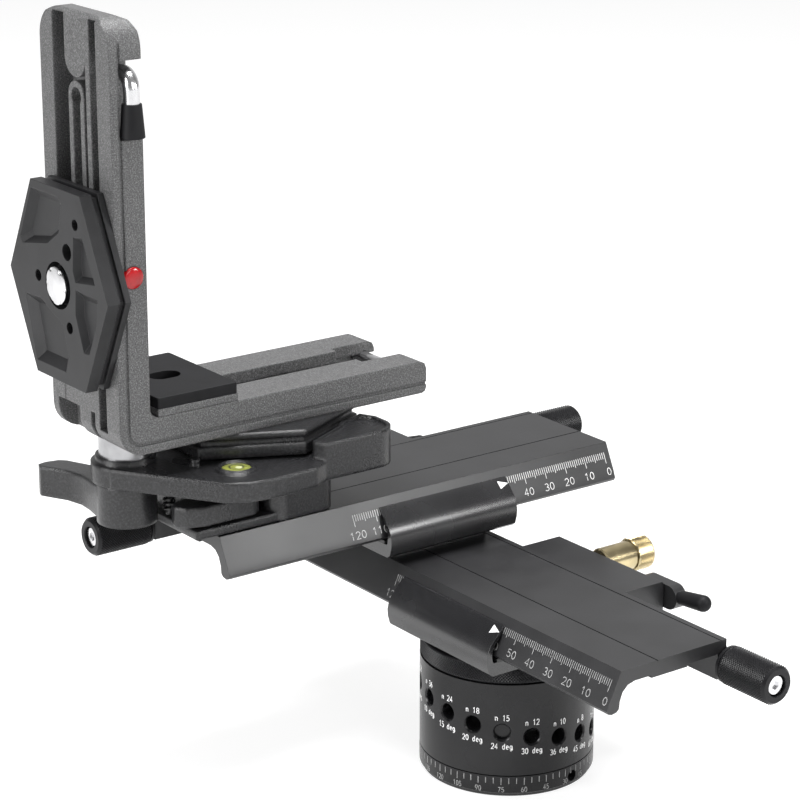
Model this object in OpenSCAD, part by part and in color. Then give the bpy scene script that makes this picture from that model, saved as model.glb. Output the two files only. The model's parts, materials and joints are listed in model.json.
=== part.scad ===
// Panoramic head: click-stop rotator, two crossed micrometer slides, hex clamp and L-bracket
// Millimetres. Origin on the tripod thread at the underside, +Z up.
// +X runs along the lower plate to its 0 end, +Y along the upper plate to its 0 end.

/* [Rotator] */
// Outer radius of the degree ring, the drum and the lock ring
drum_r = 32.2; // [30:0.1:36]
// Height of the foot and of the degree ring on it
foot_h = 8; // [6:0.5:9]
// Height of the drum above its lower gap
drum_h = 35.2; // [33:0.1:37]
// Height of the knurled lock ring
lock_h = 6.8; // [5:0.1:8]
// Width of the gaps that separate the turning rings
ring_gap = 0.4; // [0.3:0.05:0.6]
// Radius of the detent core inside the drum
core_r = 20; // [18:0.5:21]
// Radius of the spindle that the drum turns on
spindle_r = 8; // [7:0.5:10]
// Radius of the tapped tripod hole, 3/8 inch thread
thread_r = 4.3; // [3.9:0.05:4.76]
// Depth of the tripod thread
thread_depth = 16; // [12:1:20]
// Radius of each index hole
index_r = 2.9; // [2.5:0.1:3.2]
// Turn from one index hole to the next, degrees
index_step = 19.6; // [18:0.1:22]
// Drop from one index hole to the next
index_drop = 1.97; // [1.8:0.01:2.1]

/* [Slides] */
// Length of each slide plate
plate_len = 179; // [165:1:185]
// Thickness of the plate's flat top
plate_t = 4.9; // [4.5:0.1:5.2]
// Half width of the plate's flat top
plate_half = 23.4; // [23:0.1:24]
// Depth of the plate's side skirts below its top
skirt_h = 14.9; // [14.4:0.1:15.4]
// Length of the cradle that holds a plate
cradle_len = 59; // [50:0.2:62]
// Thickness of the cradle's floor
floor_t = 5; // [4.5:0.1:5.5]
// Running gap between a plate and its cradle
slide_gap = 0.12; // [0.08:0.01:0.2]
// Distance of the screw rail's inner face from the plate's middle
rail_in = 20.3; // [18:0.1:20.5]
// Radius of the lead screw
screw_r = 3; // [2.8:0.1:3.1]
// Radius of the lead-screw knobs
knob_r = 7.2; // [6:0.1:7.4]
// Length of each lead-screw knob
knob_len = 24; // [18:0.5:25]
// Rest tilt of the upper release lever, degrees
upper_tilt = 14; // [0:1:15]
// Rise from the lower unit to the upper unit
unit_rise = 24.7; // [24:0.1:27]
// Place of the upper unit along the lower plate
unit_x = -64.9; // [-65.5:0.1:-60]
// Rest place of the upper plate along its slide
upper_shift = -8.2; // [-10:0.1:0]

/* [Clamp and bracket] */
// Half size of the hexagonal plates over corners
hex_half = 33; // [31:0.5:34]
// Half size of the hexagonal plates over flats
hex_flat = 34.1; // [31:0.1:35]
// Thickness of the hexagonal plates
hex_t = 9.1; // [8:0.1:10]
// Place of the clamp along the upper plate
clamp_y = -66.9; // [-68:0.1:-66]
// Height of the clamp's top face above the upper plate
clamp_h = 26.2; // [26:0.1:28]
// Width of the bracket's arms
arm_w = 45.2; // [44:0.2:48]
// Thickness of the bracket's arms
arm_t = 12.2; // [11.8:0.1:13]
// Height of the upright arm
arm_h = 150.6; // [147:0.2:156]
// Length of the level arm
arm_len = 130.3; // [128:0.1:134]
// Width of each flange along the arms
flange_w = 8.5; // [8:0.1:9.5]
// Thickness of the web between the flanges
web_t = 4.5; // [4:0.1:5]
// Running clearance of pins and shafts, on the radius
fit = 0.06; // [0.03:0.01:0.09]

/* [Hidden] */
$fn = 64;
eps = 0.01;
drum_z = foot_h + ring_gap;
drum_top = drum_z + drum_h;
lock_z = drum_top + ring_gap;
floor_z = lock_z + lock_h + ring_gap;
floor_top = floor_z + floor_t;
bore_r = core_r + 1;
core_top = drum_top - 5.6;
boss_r = 24;
index_first = -120.2;
index_z = drum_z + 24.7;
index_counts = [72, 36, 24, 18, 15, 12, 10, 8, 6, 4];
used_row = 4;
glide_t = 1.1;
skirt_z = floor_top + glide_t + slide_gap;
plate_top = skirt_z + skirt_h;
under = plate_top - plate_t;
rail_z = skirt_z + 0.6;
screw_v = plate_half + 2.1;
screw_z = rail_z + 4.8;
channel_r = screw_r + 0.4;
box_top = plate_top - 3.7;
box_back = plate_half + 25.8;
nut_u = 19;
nut_half = 7.4;
nut_travel = 3.2;
lock_u = -7;
lock_z_axis = screw_z + 1.5;
lift = unit_rise;
upper_top = plate_top + lift;
spacer_t = lift - (plate_top - floor_z);
clamp_top = upper_top + clamp_h;
hex_z = clamp_top + 1;
arm_z = hex_z + hex_t;
arm_top = arm_z + arm_t;
arm_y = clamp_y - 69.4;
arm_in = arm_y + arm_t;
channel_half = arm_w / 2 - flange_w;
outer_r = 9.5;
knob_gap = 0.3;
clamp_plate_t = 7.2;
pocket_depth = 2.4;
side_z = arm_z + 58.1;
crank_y = arm_y + 8.4;
crank_z = arm_z + arm_h - 18.9;
fork_y = arm_y + arm_len - 5;
corner_r = 3;
top_r = 11;
camera_y = arm_in + corner_r + 0.3;
camera_depth = 32.4;
hub = [-3.5, -52.1];
hub_r = 10.8;
catch_pin = [18, -17];
spring_at = [4.2, -39.4];
level_at = [29.4, -27.1];
anodised = [0.13, 0.13, 0.14];
cast = [0.2, 0.2, 0.21];
steel = [0.75, 0.75, 0.77];
brass = [0.8, 0.65, 0.3];
rubber = [0.05, 0.05, 0.05];

// Placing helpers
module unit(i) {
  translate(i == 0 ? [0, 0, 0] : [unit_x, 0, lift])
    rotate([0, 0, i == 0 ? 0 : 90])
      children();
}

module on_plate(i) {
  unit(i)
    translate([i == 0 ? 0 : upper_shift, 0, 0])
      children();
}

module at_clamp() {
  translate([unit_x, clamp_y, 0])
    children();
}

module along_x(len) {
  rotate([90, 0, 90])
    linear_extrude(len)
      children();
}

module rod_x(r, len) {
  rotate([0, 90, 0])
    cylinder(r = r, h = len);
}

module rod_y(r, len) {
  rotate([-90, 0, 0])
    cylinder(r = r, h = len);
}

module block(a, b) {
  translate(a)
    cube([b[0] - a[0], b[1] - a[1], b[2] - a[2]]);
}

// A box with upright edges rounded, centred in x and y
module rounded_box(w, d, h, r) {
  translate([-w / 2 + r, -d / 2, 0])
    cube([w - 2 * r, d, h]);
  translate([-w / 2, -d / 2 + r, 0])
    cube([w, d - 2 * r, h]);
  for (sx = [-1, 1], sy = [-1, 1])
    translate([sx * (w / 2 - r), sy * (d / 2 - r), 0])
      cylinder(r = r, h = h);
}

// A slot with round ends along y
module slot_y(r, y0, y1, h) {
  translate([-r, y0 + r, 0])
    cube([2 * r, y1 - y0 - 2 * r, h]);
  for (y = [y0 + r, y1 - r])
    translate([0, y, 0])
      cylinder(r = r, h = h);
}

// One unbroken coil of round wire, built ring by ring
function coil_point(k, r, wire, pitch, s) =
  let (a = 360 * k / 8, b = 360 * s / 6)
  [(r + wire * cos(b)) * cos(a), (r + wire * cos(b)) * sin(a), pitch * k / 8 + wire * sin(b)];

module coil(r, wire, pitch, turns) {
  n = turns * 8;
  points = [for (k = [0:n], s = [0:5]) coil_point(k, r, wire, pitch, s)];
  sides = [for (k = [0:n - 1], s = [0:5])
    [k * 6 + s, k * 6 + (s + 1) % 6, (k + 1) * 6 + (s + 1) % 6, (k + 1) * 6 + s]];
  caps = [[5, 4, 3, 2, 1, 0], [for (s = [0:5]) n * 6 + s]];
  polyhedron(points = points, faces = concat([for (f = sides) [f[3], f[2], f[1], f[0]]],
    [for (f = caps) [for (i = [5:-1:0]) f[i]]]));
}

// Rotator
module base_foot() {
  color(anodised)
    difference() {
      union() {
        cylinder(r = drum_r - 1, h = 0.8);
        cylinder(r = drum_r - 3.2, h = foot_h);
      }
      translate([0, 0, -eps])
        cylinder(r = thread_r, h = foot_h + 1);
      rotate([0, 0, 9.2])
        translate([drum_r - 6, 0, foot_h / 2])
          rod_x(2.1, 8);
    }
}

module degree_ring() {
  color(anodised)
    difference() {
      rotate_extrude()
        polygon([[drum_r - 3.2, 0.8], [drum_r - 0.8, 0.8], [drum_r, 1.6], [drum_r, foot_h],
          [drum_r - 3.2, foot_h]]);
      rotate([0, 0, 9.2])
        translate([drum_r - 6, 0, foot_h / 2])
          rod_x(2.1, 8);
    }
}

module index_at(i) {
  rotate([0, 0, index_first + i * index_step])
    translate([0, 0, index_z - i * index_drop])
      children();
}

module detent_core() {
  color(steel)
    difference() {
      union() {
        translate([0, 0, foot_h])
          cylinder(r = core_r, h = core_top - foot_h);
        cylinder(r = spindle_r, h = drum_top + 3.6);
      }
      translate([0, 0, -1])
        cylinder(r = drum_r, h = foot_h + 1);
      translate([0, 0, -eps])
        cylinder(r = thread_r, h = thread_depth);
      for (i = [used_row:9], k = [0:index_counts[i] - 1])
        rotate([0, 0, 360 * k / index_counts[i]])
          index_at(i)
            translate([core_r - 0.7, 0, 0])
              rod_x(0.85, 2, $fn = 24);
    }
}

module thrust_washer() {
  color(brass)
    translate([0, 0, core_top])
      difference() {
        cylinder(r = core_r - 1, h = 1.2);
        translate([0, 0, -eps])
          cylinder(r = spindle_r, h = 2);
      }
}

module spindle_nut() {
  color(steel)
    translate([0, 0, drum_top + 0.1])
      difference() {
        cylinder(r = 13.5, h = 3.4, $fn = 8);
        translate([0, 0, -eps])
          cylinder(r = spindle_r, h = 5);
      }
}

module index_drum() {
  color(anodised)
    difference() {
      union() {
        translate([0, 0, drum_z])
          cylinder(r = drum_r, h = drum_h);
        translate([0, 0, drum_top])
          cylinder(r = boss_r, h = floor_z - drum_top);
      }
      translate([0, 0, drum_z - eps])
        cylinder(r = bore_r, h = core_top + 1.3 - drum_z);
      cylinder(r = spindle_r + fit, h = drum_top + 1);
      translate([0, 0, drum_top])
        cylinder(r = 14.5, h = 4.4);
      for (i = [0:9])
        index_at(i)
          translate([bore_r - 2, 0, 0])
            rod_x(index_r, drum_r);
      for (i = [0:9])
        index_at(i)
          translate([drum_r - 0.7, 0, 0])
            rotate([0, 90, 0])
              cylinder(r1 = index_r, r2 = index_r + 1.4, h = 1.4);
      for (a = [45:90:315])
        rotate([0, 0, a])
          translate([19.3, 0, drum_top + 0.6])
            cylinder(r = 2, h = 20);
    }
}

// Cap screws through a cradle floor, with hexagon sockets
module floor_screws(places, bottom) {
  for (p = places)
    translate([p[0], p[1], 0])
      difference() {
        union() {
          translate([0, 0, bottom])
            cylinder(r = 2, h = floor_top - 3 - bottom);
          translate([0, 0, floor_top - 3])
            cylinder(r = 3.6, h = 2.8);
        }
        translate([0, 0, floor_top - 2])
          cylinder(r = 1.6, h = 3, $fn = 6);
      }
}

drum_places = [for (a = [45:90:315]) [19.3 * cos(a), 19.3 * sin(a)]];
spacer_places = [for (x = [-16, 10], y = [-16, 16]) [y, x]];

module drum_screws() {
  color(steel)
    floor_screws(drum_places, drum_top + 0.8);
}

module lock_ring() {
  color(rubber)
    translate([0, 0, lock_z])
      difference() {
        cylinder(r = drum_r, h = lock_h);
        translate([0, 0, -eps])
          cylinder(r = boss_r + fit, h = lock_h + 1);
      }
}

module index_plunger() {
  color(steel)
    index_at(used_row)
      difference() {
        translate([bore_r + 0.6, 0, 0])
          rod_x(index_r - fit, drum_r - bore_r - 2.6);
        translate([bore_r, 0, 0])
          rod_x(2.3, 4.2);
      }
}

module detent_ball() {
  color(steel)
    index_at(used_row)
      translate([core_r + 2.6, 0, 0])
        sphere(r = 2.2, $fn = 32);
}

// Slide units, both the same, u along the slide and the front at -v
module cradle(places) {
  lip_z = plate_top - 3;
  lip_v = -plate_half - 1.55 - slide_gap;
  difference() {
    union() {
      translate([-cradle_len / 2, 0, 0])
        along_x(cradle_len)
          polygon([[lip_v, lip_z], [lip_v - 0.95, lip_z - 0.6], [lip_v - 2.25, lip_z - 1.85],
            [lip_v - 3.75, lip_z - 3.35], [lip_v - 5.15, lip_z - 4.95], [lip_v - 6.45, lip_z - 6.5],
            [lip_v - 7.5, lip_z - 8.6], [lip_v - 8.05, lip_z - 11], [lip_v - 7.85, lip_z - 13.8],
            [lip_v - 6.95, floor_z + 1.2], [lip_v - 5.35, floor_z], [box_back, floor_z],
            [box_back, floor_top], [lip_v - 4.85, floor_top], [lip_v - 5.4, floor_top + 0.6],
            [lip_v - 5.7, lip_z - 10.4], [lip_v - 5.3, lip_z - 8.3], [lip_v - 4.4, lip_z - 6.4],
            [lip_v - 2.85, lip_z - 4.5], [lip_v - 1.45, lip_z - 2.7], [lip_v - 0.4, lip_z - 0.9]]);
    }
    for (p = places)
      translate([p[0], p[1], floor_z - eps]) {
        cylinder(r = 2, h = floor_t + 1);
        translate([0, 0, floor_t - 3])
          cylinder(r = 3.6 + fit, h = 4);
      }
  }
}

// The plate's outline across the slide
module plate_outline() {
  rail_back = screw_v + 3.2;
  difference() {
    polygon([[-plate_half, plate_top], [-plate_half - 5, plate_top - 10.3],
      [-plate_half - 6.1, skirt_z + 1.7], [-plate_half - 5.3, skirt_z + 0.5],
      [-plate_half - 3.9, skirt_z], [-plate_half - 1.7, skirt_z + 0.4],
      [-plate_half - 0.7, skirt_z + 1.4], [-plate_half - 0.4, under - 5.9],
      [-plate_half + 0.8, under - 2.8], [-plate_half + 3, under - 0.8], [-plate_half + 5.9, under],
      [-9.9, under], [-9.9, under - 1], [6.3, under - 1], [6.3, under], [rail_in, under],
      [rail_in, rail_z], [rail_back, rail_z], [rail_back, rail_z + 2], [plate_half + 0.9, plate_top - 2.5],
      [plate_half + 0.9, plate_top]]);
    translate([screw_v, screw_z])
      circle(r = channel_r);
    translate([screw_v, screw_z - 2.7])
      square([6, 5.4]);
  }
}

module slide_plate() {
  difference() {
    translate([-plate_len / 2, 0, 0])
      along_x(plate_len)
        plate_outline();
    for (v = [-7.4, plate_half - 1.7])
      block([-plate_len, v - 0.25, plate_top - 0.4], [plate_len, v + 0.25, plate_top + 1]);
  }
}

module glides() {
  block([-cradle_len / 2, -plate_half - 5.2, floor_top], [cradle_len / 2, -plate_half - 1, floor_top + glide_t]);
  block([-cradle_len / 2, rail_in + 0.3, floor_top], [cradle_len / 2, screw_v + 2.7, rail_z - slide_gap]);
}

module box() {
  back = screw_v + 3.2 + 0.35;
  difference() {
    translate([-cradle_len / 2, 0, 0])
      along_x(cradle_len)
        polygon([[plate_half + 1.9, box_top], [back, rail_z + 2], [back, floor_top],
          [box_back, floor_top], [box_back, box_top - 0.8], [box_back - 0.8, box_top]]);
    translate([-cradle_len, screw_v, screw_z])
      rod_x(screw_r + 0.5, 2 * cradle_len);
    block([nut_u - nut_half - 0.1, screw_v - 2, screw_z - 4.2],
      [nut_u + nut_half + 0.1, box_back - 3.7, screw_z + 4.2]);
    translate([nut_u, box_back - 5, screw_z])
      rod_y(2.2 + fit, 6);
    translate([lock_u, screw_v, lock_z_axis])
      rod_y(2.55 + fit, 30);
  }
}

module half_nut() {
  difference() {
    union() {
      block([nut_u - nut_half, screw_v + 0.7, screw_z - 2.2], [nut_u + nut_half, screw_v + 6, screw_z + 2.2]);
      block([nut_u - nut_half, screw_v + 5.5, screw_z - 4], [nut_u + nut_half, box_back - 8.2, screw_z + 4]);
    }
    translate([-cradle_len, screw_v, screw_z])
      rod_x(screw_r + fit, 2 * cradle_len);
    translate([nut_u, screw_v + 4.5, screw_z])
      rod_y(1.5 + fit, 22);
    translate([nut_u, box_back - 14.2, screw_z])
      rod_y(3.7, 8.5);
  }
}

module nut_spring() {
  translate([nut_u, box_back - 4.25, screw_z])
    rotate([90, 0, 0])
      coil(2.95, 0.4, 1.5, 4);
}

module release_lever() {
  front = box_back + 0.4;
  difference() {
    union() {
      translate([nut_u, front, screw_z])
        rod_y(4.6, 5);
      block([nut_u, front, screw_z - 4.6], [nut_u + 12.5, front + 5, screw_z + 4.6]);
      translate([nut_u + 12.5, front, screw_z])
        rod_y(4.6, 5);
      translate([nut_u, box_back - 8, screw_z])
        rod_y(2.2, 9);
      translate([nut_u, box_back - 15, screw_z])
        rod_y(1.5, 8);
    }
    translate([nut_u + 13.5, front + 2.5, screw_z + 0.4])
      rotate([0, -7, 0])
        rod_x(2.2, 9);
  }
}

module lever_grip() {
  translate([nut_u + 13.5, box_back + 2.9, screw_z + 0.4])
    rotate([0, -7, 0]) {
      rod_x(2.2, 6);
      translate([4, 0, 0])
        rotate([0, 90, 0])
          cylinder(r1 = 2.7, r2 = 3.1, h = 11.2);
      translate([15.2, 0, 0])
        sphere(r = 3.1, $fn = 32);
    }
}

module lock_knob() {
  translate([lock_u, box_back + 0.4, lock_z_axis]) {
    rod_y(5.6, 15);
    translate([0, 14.5, 0])
      rod_y(6.7, 8.2);
    translate([0, -17.5, 0])
      rod_y(2.55, 18);
  }
}

module lead_screw() {
  translate([-plate_len / 2 + 4.5, screw_v, screw_z])
    rod_x(screw_r, plate_len - 9);
  translate([-plate_len / 2 - 8, screw_v, screw_z])
    rod_x(2, plate_len + 16);
}

module bushes() {
  for (s = [0, 1])
    mirror([s, 0, 0])
      translate([plate_len / 2 - 3.5, screw_v, screw_z])
        difference() {
          rod_x(channel_r, 3.5);
          translate([-1, 0, 0])
            rod_x(2 + fit, 8);
        }
}

module knobs() {
  for (s = [0, 1])
    mirror([s, 0, 0])
      translate([plate_len / 2 + knob_gap, screw_v, screw_z])
        difference() {
          union() {
            rod_x(knob_r - 0.4, 2);
            translate([1.8, 0, 0])
              rod_x(knob_r, knob_len - 2.8);
            translate([knob_len - 1, 0, 0])
              rotate([0, 90, 0])
                cylinder(r1 = knob_r, r2 = knob_r - 1, h = 1);
          }
          translate([-1, 0, 0])
            rod_x(2, 8.9);
          translate([knob_len - 2.4, 0, 0])
            rod_x(3.9, 3);
          translate([knob_len - 8, 0, 0])
            rod_x(1.5, 8);
        }
}

module knob_screws() {
  for (s = [0, 1])
    mirror([s, 0, 0])
      translate([plate_len / 2 + knob_gap + knob_len, screw_v, screw_z])
        difference() {
          union() {
            translate([-2.4, 0, 0])
              rod_x(3.3, 1.4);
            translate([-8, 0, 0])
              rod_x(1.5, 7);
          }
          translate([-2, 0, 0])
            rotate([0, 90, 0])
              cylinder(r = 1.7, h = 3, $fn = 6);
        }
}

// A release lever's turn about its nut rod, from level
module tilted(angle) {
  translate([nut_u, 0, screw_z])
    rotate([0, angle, 0])
      translate([-nut_u, 0, -screw_z])
        children();
}

module lower_cradle() {
  color(anodised)
    unit(0)
      cradle(drum_places);
}

module lower_box() {
  color(anodised)
    unit(0)
      box();
}

module lower_glides() {
  color(rubber)
    unit(0)
      glides();
}

module lower_nut() {
  color(brass)
    unit(0)
      half_nut();
}

module lower_nut_spring() {
  color(steel)
    unit(0)
      nut_spring();
}

module lower_lever() {
  color(anodised)
    unit(0)
      release_lever();
}

module lower_grip() {
  color(rubber)
    unit(0)
      lever_grip();
}

module lower_lock() {
  color(brass)
    unit(0)
      lock_knob();
}

module lower_plate() {
  color(anodised)
    difference() {
      on_plate(0)
        slide_plate();
      unit(1)
        for (p = spacer_places)
          translate([p[0], p[1], floor_z - spacer_t - 4])
            cylinder(r = 2, h = 8);
    }
}

module lower_bushes() {
  color(brass)
    on_plate(0)
      bushes();
}

module lower_screw() {
  color(steel)
    on_plate(0)
      lead_screw();
}

module lower_knobs() {
  color(rubber)
    on_plate(0)
      knobs();
}

module lower_knob_screws() {
  color(steel)
    on_plate(0)
      knob_screws();
}

module upper_spacer() {
  color(anodised)
    unit(1)
      difference() {
        translate([0, -2, floor_z - spacer_t])
          rounded_box(46, 44, spacer_t, 3);
        for (p = spacer_places)
          translate([p[0], p[1], floor_z - spacer_t - 1])
            cylinder(r = 2, h = 8);
      }
}

module spacer_screws() {
  color(steel)
    unit(1)
      floor_screws(spacer_places, floor_z - spacer_t - 3.6);
}

module upper_cradle() {
  color(anodised)
    unit(1)
      cradle(spacer_places);
}

module upper_box() {
  color(anodised)
    unit(1)
      box();
}

module upper_glides() {
  color(rubber)
    unit(1)
      glides();
}

module upper_nut() {
  color(brass)
    unit(1)
      half_nut();
}

module upper_nut_spring() {
  color(steel)
    unit(1)
      nut_spring();
}

module upper_lever() {
  color(anodised)
    unit(1)
      tilted(upper_tilt)
        release_lever();
}

module upper_grip() {
  color(rubber)
    unit(1)
      tilted(upper_tilt)
        lever_grip();
}

module upper_lock() {
  color(brass)
    unit(1)
      lock_knob();
}

module upper_plate() {
  color(anodised)
    difference() {
      on_plate(1)
        slide_plate();
      at_clamp()
        translate([0, 0, upper_top - plate_t - 3])
          cylinder(r = 3, h = plate_t + 8);
    }
}

module upper_bushes() {
  color(brass)
    on_plate(1)
      bushes();
}

module upper_screw() {
  color(steel)
    on_plate(1)
      lead_screw();
}

module upper_knobs() {
  color(rubber)
    on_plate(1)
      knobs();
}

module upper_knob_screws() {
  color(steel)
    on_plate(1)
      knob_screws();
}

// Clamp
module clamp_bolt() {
  bottom = upper_top - plate_t - 1;
  color(steel)
    at_clamp() {
      translate([0, 0, bottom])
        cylinder(r = 3, h = plate_t + 9.8);
      translate([0, 0, bottom - 3.2])
        cylinder(r = 5.8, h = 3.2, $fn = 6);
    }
}

module clamp_washer() {
  color(steel)
    at_clamp()
      translate([0, 0, upper_top])
        difference() {
          translate([0, 4, 0])
            cylinder(r = 20.4, h = 0.9);
          translate([0, 0, -eps])
            cylinder(r = 3, h = 3);
        }
}

module clamp_base() {
  bottom = upper_top + 0.9;
  color(cast)
    at_clamp()
      difference() {
        union() {
          translate([0, 5, bottom])
            rounded_box(50, 29, clamp_top - clamp_plate_t - bottom, 7);
          block([-25, -31, bottom], [8, 0, clamp_top - clamp_plate_t]);
          block([-6, -40.6, bottom], [24, 0, bottom + 3.2]);
        }
        translate([0, 0, bottom - eps])
          cylinder(r = 3, h = 8);
      }
}

// One of the two jaws' outlines, drawn in by an inset
module ear_outline(inset) {
  polygon([[35.5 - inset / 2, 1 + 2 * inset], [41 - inset, 3 + inset], [41 - inset, 26.4],
    [31.6, 35.8 - inset], [25.5, 35.8 - inset], [19.6 + 1.4 * inset, 32.8 - inset]]);
  translate([31.6, 26.4])
    circle(r = 9.4 - inset);
}

module clamp_outline() {
  polygon([[-12, -61], [4, -62.8], [39.4, -38.9], [44.2, -31], [45.4, -22], [44.6, -3], [41, 3],
    [41, 26.4], [31.6, 35.8], [-31.6, 35.8], [-41, 26.4], [-41, 3], [-42, -4], [-40, -24]]);
  for (s = [-1, 1])
    translate([s * 31.6, 26.4])
      circle(r = 9.4);
}

module clamp_body() {
  plate_z = clamp_top - clamp_plate_t;
  color(cast)
    at_clamp()
      difference() {
        union() {
          translate([0, 0, plate_z])
            linear_extrude(clamp_plate_t)
              clamp_outline();
          translate([hub[0], hub[1], plate_z])
            cylinder(r = hub_r + 1.6, h = clamp_plate_t);
          translate([hub[0], hub[1], clamp_top - 1])
            cylinder(r = hub_r, h = 3.2);
          translate([0, 0, clamp_top])
            cylinder(r = 22, h = 1);
          for (s = [0, 1])
            mirror([s, 0, 0])
              translate([0, 0, clamp_top - 1])
                difference() {
                  linear_extrude(7.5)
                    ear_outline(0);
                  translate([0, 0, 6.7])
                    linear_extrude(2)
                      ear_outline(1.6);
                }
          translate([spring_at[0], spring_at[1], plate_z - 14])
            cylinder(r = 1.4, h = 15);
          translate([catch_pin[0], catch_pin[1], plate_z - 14.9])
            cylinder(r = 2, h = 15.5);
          translate([17.8, -36.6, clamp_top - 1])
            cylinder(r = 1.6, h = 3.6);
          translate([level_at[0], level_at[1], clamp_top - 1])
            cylinder(r = 7.2, h = 1.9);
        }
        translate([level_at[0], level_at[1], clamp_top - 3])
          cylinder(r = 5.2, h = 5);
        translate([hub[0], hub[1], plate_z - 1])
          cylinder(r = 4, h = 12);
      }
}

module level_vial() {
  color([0.7, 0.8, 0.2])
    at_clamp()
      translate([level_at[0], level_at[1], clamp_top - 3])
        cylinder(r = 5.2, h = 3.6);
}

module lever_pin() {
  bottom = upper_top + 3.5;
  color(steel)
    at_clamp()
      translate([hub[0], hub[1], bottom]) {
        cylinder(r = 4, h = clamp_top + 2.3 - bottom);
        cylinder(r = 6, h = 1.2);
        translate([0, 0, clamp_top + 2.2 - bottom])
          cylinder(r = hub_r - 1.3, h = arm_z - 0.6 - clamp_top - 2.2);
      }
}

module clamp_lever() {
  bottom = upper_top + 3.4;
  top = clamp_top - clamp_plate_t - 0.4;
  color(cast)
    at_clamp()
      difference() {
        union() {
          translate([hub[0], hub[1], bottom])
            cylinder(r = hub_r, h = top - bottom);
          translate([0, 0, bottom + 2.1])
            linear_extrude(11.3)
              polygon([[-1, -42], [-9, -43], [-18, -46.6], [-25, -50.4], [-32, -53.6], [-38.2, -56.4],
                [-40.2, -58.5], [-41.2, -63.5], [-40.4, -66.8], [-38, -67.4], [-34.5, -65.6],
                [-28, -62.2], [-21, -60.6], [-15, -61], [-9, -62], [-3.5, -62.9]]);
        }
        translate([hub[0], hub[1], bottom - 1])
          cylinder(r = 4 + fit, h = 30);
        translate([hub[0], hub[1], bottom - 1])
          cylinder(r = 6.3, h = 2.6);
      }
}

module catch() {
  bottom = upper_top + 5.5;
  color(cast)
    at_clamp()
      difference() {
        translate([0, 0, bottom])
          linear_extrude(7.5)
            polygon([[13, -40.4], [14.6, -45], [18.6, -46], [22.6, -43.4], [24.4, -38], [24.4, -16],
              [22.4, -13.2], [14, -13.2], [12.4, -16], [12.8, -32]]);
        translate([catch_pin[0], catch_pin[1], bottom - 1])
          cylinder(r = 2 + fit, h = 10);
      }
}

module catch_spring() {
  color(steel)
    at_clamp()
      translate([spring_at[0], spring_at[1], clamp_top - clamp_plate_t - 13])
        coil(1.95, 0.45, 1.75, 7);
}

// Hexagonal plates, corners on x and flats on y, with a waist the clamp's jaws can hold
module hex_layer(inset, z0, z1) {
  half = hex_half - inset;
  flat = hex_flat - inset;
  translate([0, 0, z0])
    linear_extrude(z1 - z0)
      polygon([[half, 0], [half / 2, flat], [-half / 2, flat], [-half, 0], [-half / 2, -flat], [half / 2, -flat]]);
}

module hex_plate() {
  hex_layer(0, 0, hex_t / 4);
  hex_layer(1.6, hex_t / 4 - eps, hex_t / 2);
  hex_layer(0, hex_t / 2 - eps, hex_t);
}

module clamp_hex() {
  color(cast)
    at_clamp()
      translate([0, 0, hex_z])
        difference() {
          translate([0, 0, hex_t])
            mirror([0, 0, 1])
              hex_plate();
          translate([0, 0, -eps])
            cylinder(r = 7, h = 4);
          cylinder(r = 3.1, h = 20);
        }
}

module hex_screw() {
  color(steel)
    at_clamp()
      translate([0, 0, hex_z + 0.6])
        difference() {
          union() {
            cylinder(r = 6, h = 3.39);
            cylinder(r = 3, h = hex_t + 3.4);
          }
          translate([0, 0, -eps])
            cylinder(r = 2.2, h = 2, $fn = 6);
        }
}

module hex_bar() {
  color(steel)
    at_clamp()
      difference() {
        block([-channel_half, -7, arm_z], [channel_half, 7, arm_z + 4]);
        translate([0, 0, arm_z - 1])
          cylinder(r = 3, h = 10);
      }
}

// L-bracket
module bracket_side() {
  end_y = arm_y + arm_len;
  top_z = arm_z + arm_h;
  foot = [for (a = [180:15:270]) [arm_y + outer_r + outer_r * cos(a), arm_z + outer_r + outer_r * sin(a)]];
  polygon(concat(foot, [[end_y - 2, arm_z], [end_y - 0.6, arm_z + 0.6], [end_y, arm_z + 2],
    [end_y, arm_top - 3], [end_y - 0.9, arm_top - 0.9], [end_y - 3, arm_top], [arm_in + corner_r, arm_top],
    [arm_in + 0.3 * corner_r, arm_top + 0.3 * corner_r], [arm_in, arm_top + corner_r], [arm_in, top_z - 5],
    [arm_in - 1.5, top_z - 1.5], [arm_in - 5, top_z], [arm_y + 2, top_z], [arm_y, top_z - 2]]));
}

// The long thin groove that sets off the outer lip on both side faces
module lip_groove(s) {
  x = s * arm_w / 2;
  block([x - 0.6, arm_y + 3, arm_z + 9], [x + 0.6, arm_y + 4.1, arm_z + arm_h - 6]);
  block([x - 0.6, arm_y + 9, arm_z + 3], [x + 0.6, arm_y + arm_len + 1, arm_z + 4.1]);
  intersection() {
    translate([x - 0.6, arm_y + 9, arm_z + 9])
      difference() {
        rod_x(6, 1.2);
        translate([-1, 0, 0])
          rod_x(4.9, 4);
      }
    block([x - 2, arm_y + 1, arm_z + 1], [x + 2, arm_y + 9, arm_z + 9]);
  }
}

// A slot with round ends up the upright arm, cut through along y
module upright_slot(r, z0, z1, y0, y1) {
  block([-r, y0, z0 + r], [r, y1, z1 - r]);
  for (z = [z0 + r, z1 - r])
    translate([0, y0, z])
      rod_y(r, y1 - y0);
}

module upright_channel() {
  web_y = arm_in - web_t;
  top_z = arm_z + arm_h;
  difference() {
    block([-channel_half, arm_y - 1, arm_z + 7], [channel_half, web_y, top_z - 1.5]);
    upright_slot(6.7, top_z - 22.2, top_z + 8, arm_y + 0.3, web_y + 1);
    block([-channel_half - 1, arm_y + 0.2, arm_z], [8.8, web_y + 1, arm_z + 24]);
    block([6.6, arm_y + 0.3, arm_z + 23], [9.3, web_y + 1, top_z + 2]);
    upright_slot(5, arm_top + 10, top_z - 23.4, arm_y + 0.3, web_y + 1);
  }
}

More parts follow.
